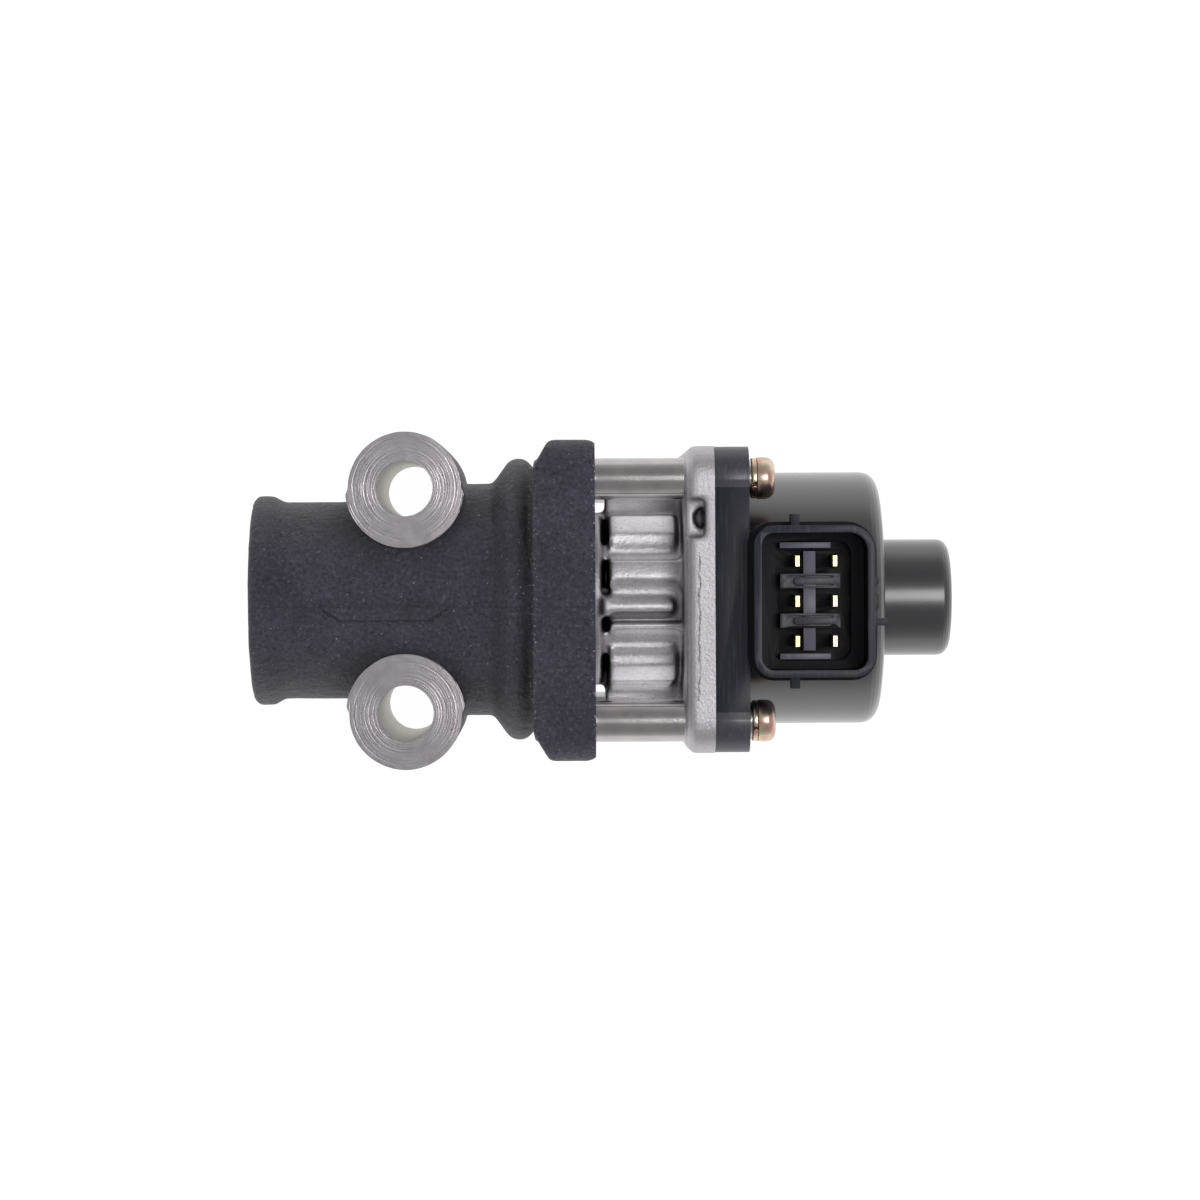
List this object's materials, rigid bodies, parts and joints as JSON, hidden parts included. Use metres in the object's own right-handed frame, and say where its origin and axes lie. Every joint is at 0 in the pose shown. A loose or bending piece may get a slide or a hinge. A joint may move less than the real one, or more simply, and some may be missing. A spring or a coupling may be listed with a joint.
{
  "type": "exhaust gas recirculation valve",
  "caption": "Motor-driven exhaust gas recirculation valve: cast flow body with through-bolt bosses, ribbed motor holder on spacer tubes, stepped motor can and upright plug socket.",
  "frame": {"origin": "centre between the two mounting bolts, on the gasket face of the foot", "axes": "+X along the valve axis towards the motor, +Z out of the gasket face along the bolts towards their heads and the connector's mouth, +Y along the line between the bolts"},
  "size_m": [0.114, 0.0544, 0.0611],
  "materials": {
    "black_casting": "sand-cast iron with a thin black coating, rough",
    "plated_plug": "dull zinc plate",
    "stainless_steel": "turned",
    "bronze": "sintered",
    "seal_rubber": "moulded",
    "die_cast_aluminium": "blasted die casting",
    "spring_steel": "drawn wire",
    "pressed_steel": "pressed sheet",
    "plated_tube": "bright plated, turned",
    "yellow_zinc": "yellow and pink passivated zinc",
    "moulded_plastic": "moulded, satin",
    "black_can": "drawn steel with semi-gloss black coat",
    "bearing_steel": "ground",
    "nut_brass": "turned",
    "magnet_ferrite": "pressed ferrite",
    "bobbin_nylon": "moulded",
    "enamelled_copper": "wound enamelled wire",
    "pin_gold": "gold-tinted plate"
  },
  "bodies": {
    "housing": {"valve_body": "black_casting", "end_plug": "plated_plug", "valve_seat": "stainless_steel", "stem_bush": "bronze", "rear_bush": "bronze", "stem_seal": "seal_rubber", "flange_o_ring": "seal_rubber", "motor_holder": "die_cast_aluminium", "return_spring": "spring_steel", "preload_washer": "spring_steel", "screw_guide": "pressed_steel", "pole_plate_1": "pressed_steel", "pole_plate_2": "pressed_steel", "pole_plate_3": "pressed_steel", "pole_plate_4": "pressed_steel", "spacer_tube_1": "plated_tube", "spacer_tube_2": "plated_tube", "spacer_tube_3": "plated_tube", "spacer_tube_4": "plated_tube", "limiter_sleeve_1": "plated_tube", "limiter_sleeve_2": "plated_tube", "limiter_sleeve_3": "plated_tube", "limiter_sleeve_4": "plated_tube", "screw_1": "yellow_zinc", "screw_2": "yellow_zinc", "screw_3": "yellow_zinc", "screw_4": "yellow_zinc", "lock_washer_1": "yellow_zinc", "lock_washer_2": "yellow_zinc", "lock_washer_3": "yellow_zinc", "lock_washer_4": "yellow_zinc", "motor_housing": "moulded_plastic", "motor_can": "black_can", "front_bearing_outer": "bearing_steel", "front_bearing_balls": "bearing_steel", "bobbin_front": "bobbin_nylon", "bobbin_rear": "bobbin_nylon", "winding_front": "enamelled_copper", "winding_rear": "enamelled_copper", "terminal_pin_1": "pin_gold", "terminal_pin_2": "pin_gold", "terminal_pin_3": "pin_gold", "terminal_pin_4": "pin_gold", "terminal_pin_5": "pin_gold", "terminal_pin_6": "pin_gold"},
    "rotor": {"rotor_hub": "nut_brass", "rotor_magnet": "magnet_ferrite", "front_bearing_inner": "bearing_steel"},
    "valve": {"pintle_valve": "stainless_steel", "spring_holder": "pressed_steel", "lead_screw": "bearing_steel"}
  },
  "joints": [
    {"name": "rotor_spin", "type": "hinge", "parent": "housing", "child": "rotor", "pos_m": [0.066, 0, 0.028], "axis": [1, 0, 0], "range_deg": [0, 780]},
    {"name": "valve_lift", "type": "slide", "parent": "housing", "child": "valve", "axis": [-1, 0, 0], "range_m": [0, 0.00433], "deforming": ["return_spring"]}
  ],
  "couplings": [
    {"joint": "rotor_spin", "follows": "valve_lift", "rad_per_m": 3141.6}
  ]
}
